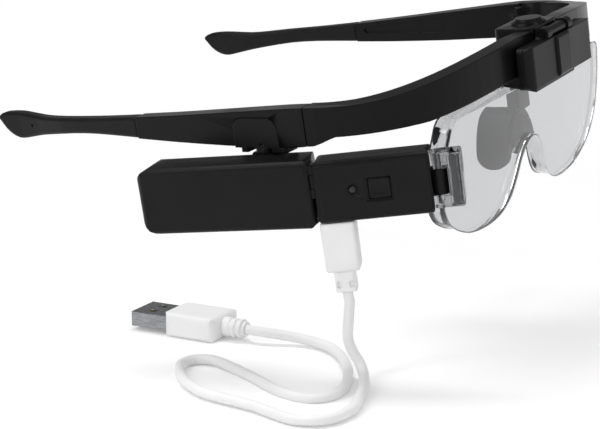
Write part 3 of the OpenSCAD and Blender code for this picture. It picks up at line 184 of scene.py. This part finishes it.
# Clear plastics: the polished acrylic lens, the light head's moulded polycarbonate, the smoked light pipe
clearPlastics = {
    # name: tint through the piece, roughness low and high, IOR, haze size mm
    "polishedAcrylic": ("#c8c9cb", 0.0, 0.004, 1.49, 25),
    "mouldedPolycarbonate": ("#b4b6b8", 0.02, 0.06, 1.58, 4),
    "smokedAcrylic": ("#4a4b4d", 0.04, 0.10, 1.49, 2),
}
clearGloss = 0.25            # specular level of the clear plastics, where 0.5 is bare plastic


def makeClearPlastic(name):
    tint, smooth, hazy, ior, haze = clearPlastics[name]
    material, tree, place = newMaterial(name)
    cloud = addNode(tree, "ShaderNodeTexNoise", {"Scale": perMetre(haze), "Detail": 2.0}, {"Vector": place})
    roughness = rampNode(tree, cloud.outputs["Fac"], [(0.35, grey(smooth)), (0.75, grey(hazy))])
    shader = addNode(tree, "ShaderNodeBsdfPrincipled",
                     {"Base Color": hexColour(tint), "IOR": ior, "Transmission Weight": 1.0,
                      "Specular IOR Level": clearGloss},
                     {"Roughness": roughness})
    finishMaterial(tree, shader.outputs["BSDF"])
    return material


# Moulded grey silicone: dull, a little light goes through its thin wings
silicone = {
    "dark": "#2c2d2f",
    "light": "#363739",
    "haze": 5,               # mm
    "height": 0.008,         # mm
    "roughness": 0.55,
    "ior": 1.41,
    "through": 0.1,          # share of the light that travels inside
    "reach": 1.0,            # mm that it travels
}


def makeSilicone():
    material, tree, place = newMaterial("mouldedSilicone")
    haze = addNode(tree, "ShaderNodeTexNoise", {"Scale": perMetre(silicone["haze"]), "Detail": 3.0},
                   {"Vector": place})
    colour = rampNode(tree, haze.outputs["Fac"],
                      [(0.3, hexColour(silicone["dark"])), (0.8, hexColour(silicone["light"]))])
    bump = addNode(tree, "ShaderNodeBump", {"Distance": silicone["height"] * mm, "Strength": 0.4},
                   {"Height": haze.outputs["Fac"]})
    shader = addNode(tree, "ShaderNodeBsdfPrincipled",
                     {"Roughness": silicone["roughness"], "IOR": silicone["ior"],
                      "Subsurface Weight": silicone["through"], "Subsurface Scale": silicone["reach"] * mm},
                     {"Base Color": colour, "Normal": bump.outputs["Normal"]})
    finishMaterial(tree, shader.outputs["BSDF"])
    return material


def makeWhiteElastomer(name, base, shade, roughness):
    # moulded or extruded white TPE: even, softly shiny, faint handling marks
    material, tree, place = newMaterial(name)
    marks = addNode(tree, "ShaderNodeTexNoise", {"Scale": perMetre(moulding["whiteMarks"]), "Detail": 5.0},
                    {"Vector": place})
    grain = addNode(tree, "ShaderNodeTexNoise", {"Scale": perMetre(moulding["whiteGrain"]), "Detail": 1.0},
                    {"Vector": place})
    colour = rampNode(tree, marks.outputs["Fac"], [(0.3, hexColour(shade)), (0.62, hexColour(base))])
    bump = addNode(tree, "ShaderNodeBump", {"Distance": moulding["whiteHeight"] * mm, "Strength": 0.4},
                   {"Height": grain.outputs["Fac"], "Normal": roundCorner(tree, moulding["whiteCorner"])})
    shader = addNode(tree, "ShaderNodeBsdfPrincipled",
                     {"Roughness": roughness, "IOR": 1.48, "Specular IOR Level": 0.3},
                     {"Base Color": colour, "Normal": bump.outputs["Normal"]})
    finishMaterial(tree, shader.outputs["BSDF"])
    return material


# Metals: pressed and plated steel, turned steel, blackened pins, plated contacts, foil
metals = {
    # name: dark tint, light tint, roughness low and high, brush size mm, stretch along one way
    "pressedNickelSteel": ("#7d7f82", "#a4a6a9", 0.18, 0.32, 0.25, (1.0, 12.0, 1.0)),
    "turnedSteel": ("#8e9094", "#b9bbbf", 0.22, 0.38, 0.20, (1.0, 1.0, 6.0)),
    "blackenedSteel": ("#26272a", "#35363a", 0.30, 0.45, 0.20, (6.0, 1.0, 1.0)),
    "plateContact": ("#b98f3c", "#dcb85c", 0.18, 0.30, 0.20, (1.0, 6.0, 1.0)),
    "rolledFoil": ("#85898e", "#a9adb2", 0.28, 0.45, 1.50, (1.0, 1.0, 1.0)),
}


def makeMetal(name):
    dark, light, smooth, rough, brush, stretch = metals[name]
    material, tree, place = newMaterial(name)
    squeeze = addNode(tree, "ShaderNodeMapping", {"Scale": tuple(1 / s for s in stretch)}, {"Vector": place})
    lines = addNode(tree, "ShaderNodeTexNoise", {"Scale": perMetre(brush), "Detail": 3.0},
                    {"Vector": squeeze.outputs["Vector"]})
    colour = rampNode(tree, lines.outputs["Fac"], [(0.3, hexColour(dark)), (0.7, hexColour(light))])
    roughness = rampNode(tree, lines.outputs["Fac"], [(0.3, grey(smooth)), (0.7, grey(rough))])
    shader = addNode(tree, "ShaderNodeBsdfPrincipled", {"Metallic": 1.0},
                     {"Base Color": colour, "Roughness": roughness})
    finishMaterial(tree, shader.outputs["BSDF"])
    return material


def makeSpeckled(name, base, fleck, size, roughness):
    # board, foam, phosphor and tongue: one even colour broken by small flecks
    material, tree, place = newMaterial(name)
    flecks = addNode(tree, "ShaderNodeTexVoronoi", {"Scale": perMetre(size)}, {"Vector": place})
    colour = rampNode(tree, flecks.outputs["Distance"], [(0.1, hexColour(fleck)), (0.55, hexColour(base))])
    bump = addNode(tree, "ShaderNodeBump", {"Distance": moulding["fleckHeight"] * mm, "Strength": 0.5},
                   {"Height": flecks.outputs["Distance"]})
    shader = addNode(tree, "ShaderNodeBsdfPrincipled", {"Roughness": roughness},
                     {"Base Color": colour, "Normal": bump.outputs["Normal"]})
    finishMaterial(tree, shader.outputs["BSDF"])
    return material


finishes = {name: makeBlackPlastic(name) for name in blackPlastics}
finishes.update({name: makeClearPlastic(name) for name in clearPlastics})
finishes.update({name: makeMetal(name) for name in metals})
finishes["mouldedSilicone"] = makeSilicone()
finishes["mouldedTpePlug"] = makeWhiteElastomer("mouldedTpePlug", "#fafafa", "#f5f5f5", 0.40)
finishes["extrudedTpeCord"] = makeWhiteElastomer("extrudedTpeCord", "#fafafa", "#f5f5f5", 0.42)
finishes["solderMaskBoard"] = makeSpeckled("solderMaskBoard", "#16452e", "#2c6b4a", 1.2, 0.35)
finishes["carrierBoard"] = makeSpeckled("carrierBoard", "#1e1f21", "#292a2c", 0.9, 0.4)
finishes["openFoam"] = makeSpeckled("openFoam", "#2c2c2e", "#141415", 0.5, 0.9)
finishes["castPhosphor"] = makeSpeckled("castPhosphor", "#a8a699", "#bdbbae", 0.3, 0.5)
finishes["mouldedTongue"] = makeSpeckled("mouldedTongue", "#c4c4c6", "#d3d3d4", 2.0, 0.35)
slotFinish = {
    "frame_plastic": "mouldedAbsFrame", "tip_plastic": "mouldedNylonTip",
    "bridge_plastic": "mouldedAbsBridge", "lamp_plastic": "mouldedAbsLamp", "steel": "turnedSteel",
    "pad_rubber": "mouldedSilicone", "clear_lens": "polishedAcrylic", "clear_lamp": "mouldedPolycarbonate",
    "cell_wrap": "rolledFoil", "foam": "openFoam", "contacts": "plateContact", "board": "solderMaskBoard",
    "led": "castPhosphor", "cord_vinyl": "mouldedTpePlug", "tongue_plastic": "mouldedTongue",
}
nodeFinish = {
    "led_board": "carrierBoard", "usb_shell": "pressedNickelSteel", "plug_shell": "pressedNickelSteel",
    "charge_socket": "pressedNickelSteel", "indicator_pipe": "smokedAcrylic", "flip_pin": "blackenedSteel",
    "swivel_washer": "blackenedSteel",
}
for nodeName, nodeObject in frame["nodes"].items():
    finish = finishes[nodeFinish.get(nodeName, slotFinish[nodeSlot[nodeName]])]
    nodeObject.data.materials.clear()
    nodeObject.data.materials.append(finish)
print("materials made")


# Charging cord, on the points that the solid follows

cordLine = {
    "diameter": 3 * mm,
    "steps": 6,              # curve steps between two route points
    "roundness": 6,          # curve steps in a quarter of the cord's section
    "from": (-72.5915, 15.2436, -31.5),
    "offsets": [
        (0, 0, -0.05), (0, 0, -2), (0, 0, -4), (-1.1, 1.3, -13), (-0.7, 0.8, -17.5), (-0.5, -0.9, -21.1),
        (-2.7, -3.1, -23.3), (-6.3, -5.3, -23.7), (-11.3, -8, -23.5), (-23.3, -12.5, -23),
        (-29.3, -13.5, -22.5), (-35.3, -12.5, -21.7), (-39.3, -9, -21), (-40.8, -3.5, -20.5),
        (-39.3, 3.5, -20), (-37.8, 10.5, -19.3), (-36.8, 24.5, -17.9), (-34.3, 31.5, -17.5),
        (-30.3, 37.5, -17.4), (-25.3, 42.5, -17.5), (-19.8, 46, -17.8), (-14.8, 45.5, -18.3),
        (-12.3, 41.5, -18.9), (-13.3, 35.5, -19.5),
        (-17.5, 24.5, -20.4), (-22.8, 13, -21.2), (-24.5, 5.5, -21.8), (-23.3, 0, -22.4), (-18.8, -2.8, -23),
        (-12.8, -2.5, -23.5), (-5.3, 0.5, -23.9), (1.7, 4.8, -24), (8.2, 10, -24.1), (13.7, 16.5, -23.9),
        (16.5, 23.5, -23.5), (16, 29.5, -22.3), (13.9, 34.8, -20.7),
    ],
    "plugAt": (-60.8915, 59.7436, -50.5),
    "plugHeading": (-0.05629, 0.99349, 0.09885),
    "straight": (5, 2.5, 0.05),    # mm of straight cord before the large plug's neck
}


def cordPoints():
    start, plug = mmVector(*cordLine["from"]), mmVector(*cordLine["plugAt"])
    heading = Vector(cordLine["plugHeading"])
    return ([start + mmVector(*p) for p in cordLine["offsets"]]
            + [plug - distance * mm * heading for distance in cordLine["straight"]])


def smoothRun(points, steps):
    run = []
    for i in range(len(points) - 1):
        a, b = points[max(i - 1, 0)], points[i]
        c, d = points[i + 1], points[min(i + 2, len(points) - 1)]
        for j in range(steps):
            t = j / steps
            run.append((2 * b + (c - a) * t + (2 * a - 5 * b + 4 * c - d) * t * t
                        + (3 * b - a - 3 * c + d) * t * t * t) / 2)
    return run + [points[-1]]


def addCord():
    points = smoothRun(cordPoints(), cordLine["steps"])
    curve = bpy.data.curves.new("cord", "CURVE")
    curve.dimensions = "3D"
    curve.bevel_depth = cordLine["diameter"] / 2
    curve.bevel_resolution = cordLine["roundness"]
    curve.use_fill_caps = True
    spline = curve.splines.new("POLY")
    spline.points.add(len(points) - 1)
    for target, point in zip(spline.points, points):
        target.co = (*point, 1)
    spline.use_smooth = True
    piece = bpy.data.objects.new("chargingCord", curve)
    bpy.context.collection.objects.link(piece)
    curve.materials.append(finishes["extrudedTpeCord"])
    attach(piece, "lamp_arm")
    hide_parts("charge_cord")
    length = sum((b - a).length for a, b in zip(points, points[1:]))
    return piece, points[0], length


cordPiece, cordExit, cordLength = addCord()
print("cord", round(cordLength, 4))


# Moulded shells: the solids' own surfaces with smooth curves, and round rims on four of them

softening = {
    "steps": 3,              # faces across a rim
    "angle": 28,             # degrees between faces from which an edge is a corner
    "roomShare": 0.42,       # of the surface beside the edge, which the radius stays under
    "rings": 2,              # rings of faces that are searched for that surface
    "merge": 1e-6,           # metres between points that are one
    "flat": 0.15,            # degrees between faces that are one surface
    "evenness": 90,          # pull of the large faces on the shading of a curve
}
shellNodes = [
    "frame_front", "temple_right", "temple_left", "temple_tip_right", "temple_tip_left",
    "bridge_housing", "release_button", "nose_pad_arm", "nose_pad", "holder_front", "holder_back",
    "swivel_shoe", "battery_cover", "battery_base", "arm_cover", "arm_base", "power_button",
    "light_head", "plug_body", "plug_relief", "usb_body", "usb_neck", "usb_shell",
]
rimRadius = {
    # node: rim radius mm
    "temple_tip_right": 0.9, "temple_tip_left": 0.9, "usb_neck": 0.2, "usb_shell": 0.12,
}


def pieceName(node):
    words = node.split("_")
    return words[0] + "".join(word.capitalize() for word in words[1:]) + "Shell"


def isCorner(edge):
    return len(edge.link_faces) == 2 and edge.calc_face_angle(0) > math.radians(softening["angle"])


def surfaceWidth(edge, face):
    # how far the smooth surface that starts with this face reaches from the edge
    faces = {face}
    for _ in range(softening["rings"]):
        faces |= {f for near in faces for e in near.edges if not isCorner(e) for f in e.link_faces}
    start = edge.verts[0].co
    along = (edge.verts[1].co - start).normalized()
    return max((v.co - start).cross(along).length for f in faces for v in f.verts)


def weighRims(bm, radius):
    weight = bm.edges.layers.float.new("bevel_weight_edge")
    for edge in bm.edges:
        if isCorner(edge):
            room = min(surfaceWidth(edge, face) for face in edge.link_faces)
            edge[weight] = min(1, softening["roomShare"] * room / radius)


def softened(node):
    # flat surfaces become one face each, split only where they are concave, so that the shading is even
    mesh = frame["nodes"][node].data.copy()
    bm = bmesh.new()
    bm.from_mesh(mesh)
    bmesh.ops.remove_doubles(bm, verts=bm.verts, dist=softening["merge"])
    bmesh.ops.dissolve_limit(bm, angle_limit=math.radians(softening["flat"]), verts=bm.verts,
                             edges=bm.edges)
    bmesh.ops.connect_verts_concave(bm, faces=bm.faces)
    bm.normal_update()
    if node in rimRadius:
        weighRims(bm, rimRadius[node] * mm)
    for face in bm.faces:
        face.smooth = True
    bm.to_mesh(mesh)
    bm.free()
    mesh.set_sharp_from_angle(angle=math.radians(softening["angle"]))
    piece = bpy.data.objects.new(pieceName(node), mesh)
    bpy.context.collection.objects.link(piece)
    if node in rimRadius:
        bevel = piece.modifiers.new("edges", "BEVEL")
        bevel.width = rimRadius[node] * mm
        bevel.segments = softening["steps"]
        bevel.limit_method = "WEIGHT"
        bevel.use_clamp_overlap = False
    even = piece.modifiers.new("even", "WEIGHTED_NORMAL")
    even.keep_sharp = True
    even.weight = softening["evenness"]
    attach(piece, nodeBody[node])
    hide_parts(node)
    return piece


shells = {node: softened(node) for node in shellNodes}
print("shells softened")


# Lens: one curved two-lobed shield with a rounded, polished rim and its fixing tab

lensForm = {
    "half": [                # mm, from the top edge round one lobe to the notch over the nose
        (44, 0), (48.5, -0.3), (51, -1.9), (52.2, -5), (53.6, -10), (54.3, -16), (53.7, -23.5),
        (49.5, -30.5), (40, -35.4), (30, -37), (20.5, -36.3), (14, -33.2), (10, -28), (6.8, -21.8),
        (3.4, -18.3), (0, -17.2),
    ],
    "steps": 6,              # curve steps between two of these points
    "width": 0.9993,         # of the outline's own width
    "thick": 5.6 * mm,
    "rim": 0.35 * mm,        # radius of the polished rim
    "rimSteps": 3,
    "curve": 0.7,            # metres, radius of both faces
    "strip": 4.5 * mm,       # width of the strips that make the faces follow that radius
    "facing": 0.999,         # from here up a face's turn to the front counts as the lens face
    "place": (0, -13.7, 10.2),
    "tilt": 9.8,             # degrees
    "tab": ((-11.5, 1.2, 0), (11.5, 4.4, 2.6)),    # mm, two corners of the fixing tab
}


def lensOutline():
    half = smoothRun([mmVector(x * lensForm["width"], 0, z) for x, z in lensForm["half"]], lensForm["steps"])
    return half + [Vector((-p.x, 0, p.z)) for p in reversed(half[:-1])]


def inset(points, distance):
    moved = []
    for i, point in enumerate(points):
        along = (points[(i + 1) % len(points)] - points[i - 1]).normalized()
        moved.append(point + distance * Vector((along.z, 0, -along.x)))
    return moved


def addLens():
    outline, rim, thick = lensOutline(), lensForm["rim"], lensForm["thick"]
    quarter = [math.pi / 2 * i / lensForm["rimSteps"] for i in range(lensForm["rimSteps"] + 1)]
    profile = [(rim * (1 - math.sin(a)), rim * (1 - math.cos(a))) for a in quarter]
    profile += [(side, thick - depth) for side, depth in reversed(profile)]
    bm = bmesh.new()
    rings = [[bm.verts.new(p + Vector((0, depth, 0))) for p in inset(outline, -side)]
             for side, depth in profile]
    for near, far in zip(rings, rings[1:]):
        for i in range(len(outline)):
            j = (i + 1) % len(outline)
            bm.faces.new((near[i], near[j], far[j], far[i]))
    bm.faces.new(list(reversed(rings[0])))
    bm.faces.new(rings[-1])
    reach = max(p.x for p in outline)
    for i in range(int(-reach / lensForm["strip"]), int(reach / lensForm["strip"]) + 1):
        parts = bm.verts[:] + bm.edges[:] + bm.faces[:]
        bmesh.ops.bisect_plane(bm, geom=parts, plane_co=(i * lensForm["strip"], 0, 0), plane_no=(1, 0, 0))
    bm.normal_update()
    for edge in bm.edges:    # the faces end where the rim starts
        edge.smooth = len({abs(face.normal.y) > lensForm["facing"] for face in edge.link_faces}) == 1
    for vert in bm.verts:
        vert.co.y += vert.co.x ** 2 / (2 * lensForm["curve"])
    low, high = (mmVector(*corner) for corner in lensForm["tab"])
    tab = bmesh.ops.create_cube(bm, size=1)["verts"]
    for vert in tab:
        vert.co = Vector([low[i] + (vert.co[i] + 0.5) * (high[i] - low[i]) for i in range(3)])
        for edge in vert.link_edges:
            edge.smooth = False
    bmesh.ops.recalc_face_normals(bm, faces=bm.faces)
    for face in bm.faces:
        face.smooth = True
    mesh = bpy.data.meshes.new("lens")
    bm.to_mesh(mesh)
    bm.free()
    mesh.transform(Matrix.Translation(mmVector(*lensForm["place"]))
                   @ Matrix.Rotation(math.radians(lensForm["tilt"]), 4, "X"))
    piece = bpy.data.objects.new("lensShield", mesh)
    bpy.context.collection.objects.link(piece)
    mesh.materials.append(finishes["polishedAcrylic"])
    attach(piece, nodeBody["lens"])
    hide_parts("lens")


addLens()
print("lens made")


# Floor and light

studio = {
    "floorPoint": mmVector(-72.1, 15.3, -57.6),
    "floorNormal": Vector((0.104, -0.099, 0.990)),    # the cord's own plane
    "floorSize": 6.0,
    "floorColour": "#efefef",
    "floorGlow": 0.22,       # lifts the floor to white where the camera or a gloss sees it
    "nearWhite": 0.12,       # metres from floorPoint where the floor starts to turn plain white
    "farWhite": 0.34,        # metres where it is plain white
    "roomLight": 0.50,       # of the white room on the object
    "darkCeiling": 0.22,     # what a gloss sees above the horizon
    "ceilingFrom": 0.20,     # sine of the height at which the ceiling is dark
}


def seenRay(tree):
    # two sockets: 1 for rays from the camera or through a clear piece, and 1 for rays off a gloss
    path = addNode(tree, "ShaderNodeLightPath")
    seen = addNode(tree, "ShaderNodeMath", {"operation": "MAXIMUM"},
                   {0: path.outputs["Is Camera Ray"], 1: path.outputs["Is Transmission Ray"]})
    return seen.outputs[0], path.outputs["Is Glossy Ray"]


def addFloor():
    mesh = bpy.data.meshes.new("floor")
    half = studio["floorSize"] / 2
    corners = [(-half, -half, 0), (half, -half, 0), (half, half, 0), (-half, half, 0)]
    mesh.from_pydata(corners, [], [(0, 1, 2, 3)])
    floor = bpy.data.objects.new("floor", mesh)
    bpy.context.collection.objects.link(floor)
    floor.matrix_world = (Matrix.Translation(studio["floorPoint"])
                          @ studio["floorNormal"].to_track_quat("Z", "Y").to_matrix().to_4x4())
    material, tree, place = newMaterial("paintedBoard")
    diffuse = addNode(tree, "ShaderNodeBsdfDiffuse", {"Color": hexColour(studio["floorColour"])})
    seen, glossy = seenRay(tree)
    either = addNode(tree, "ShaderNodeMath", {"operation": "MAXIMUM"}, {0: seen, 1: glossy}).outputs[0]
    lift = addNode(tree, "ShaderNodeMath", {"operation": "MULTIPLY", 1: studio["floorGlow"]}, {0: either})
    glow = addNode(tree, "ShaderNodeEmission", {"Color": (1, 1, 1, 1)}, {"Strength": lift.outputs[0]})
    near = addNode(tree, "ShaderNodeAddShader", links={0: diffuse.outputs[0], 1: glow.outputs[0]})
    white = addNode(tree, "ShaderNodeEmission", {"Color": (1, 1, 1, 1), "Strength": 1.0})
    away = addNode(tree, "ShaderNodeVectorMath", {"operation": "LENGTH"}, {0: place})
    spread = rampNode(tree, away.outputs["Value"],
                      [(studio["nearWhite"], grey(0)), (studio["farWhite"], grey(1))])
    factor = addNode(tree, "ShaderNodeMath", {"operation": "MULTIPLY"}, {0: either, 1: spread})
    both = addNode(tree, "ShaderNodeMixShader", links={0: factor.outputs[0], 1: near.outputs[0],
                                                       2: white.outputs[0]})
    finishMaterial(tree, both.outputs[0])
    mesh.materials.append(material)


def addWorld():
    # white for the camera, white walls under a dark ceiling in a gloss, a plain room light on the object
    world = bpy.data.worlds.new("studioWorld")
    bpy.context.scene.world = world
    world.use_nodes = True
    tree = world.node_tree
    tree.nodes.clear()
    seen, glossy = seenRay(tree)
    direction = addNode(tree, "ShaderNodeTexCoord").outputs["Generated"]
    height = addNode(tree, "ShaderNodeSeparateXYZ", links={"Vector": direction}).outputs["Z"]
    mirrored = rampNode(tree, height, [(0.0, grey(1)), (studio["ceilingFrom"], grey(studio["darkCeiling"]))])
    light = addNode(tree, "ShaderNodeBackground", {"Color": (1, 1, 1, 1), "Strength": studio["roomLight"]})
    gloss = addNode(tree, "ShaderNodeBackground", {"Strength": 1.0}, {"Color": mirrored})
    white = addNode(tree, "ShaderNodeBackground", {"Color": (1, 1, 1, 1), "Strength": 1.0})
    room = addNode(tree, "ShaderNodeMixShader", links={0: glossy, 1: light.outputs[0], 2: gloss.outputs[0]})
    mixed = addNode(tree, "ShaderNodeMixShader", links={0: seen, 1: room.outputs[0], 2: white.outputs[0]})
    addNode(tree, "ShaderNodeOutputWorld", links={"Surface": mixed.outputs[0]})


softboxes = {
    # name: position mm, aim mm, width mm, height mm, watts
    "topBox": ((40, 60, 480), (-30, 20, 0), 620, 130, 1.5),
    "sideBox": ((-430, 160, 300), (-80, 40, 0), 110, 320, 0.65),
    "frontBox": ((-200, -470, 200), (-20, -10, 0), 120, 300, 0.25),
}


def addSoftbox(name):
    position, aim, width, height, watts = softboxes[name]
    lamp = bpy.data.lights.new(name, "AREA")
    lamp.shape = "RECTANGLE"
    lamp.size, lamp.size_y = width * mm, height * mm
    lamp.energy = watts
    box = bpy.data.objects.new(name, lamp)
    bpy.context.collection.objects.link(box)
    away = mmVector(*position) - mmVector(*aim)
    turn = away.to_track_quat("Z", "Y").to_matrix().to_4x4()
    box.matrix_world = Matrix.Translation(mmVector(*position)) @ turn


addFloor()
addWorld()
for name in softboxes:
    addSoftbox(name)
bpy.context.scene.view_settings.view_transform = "Standard"
print("studio lit")

bpy.context.view_layer.update()
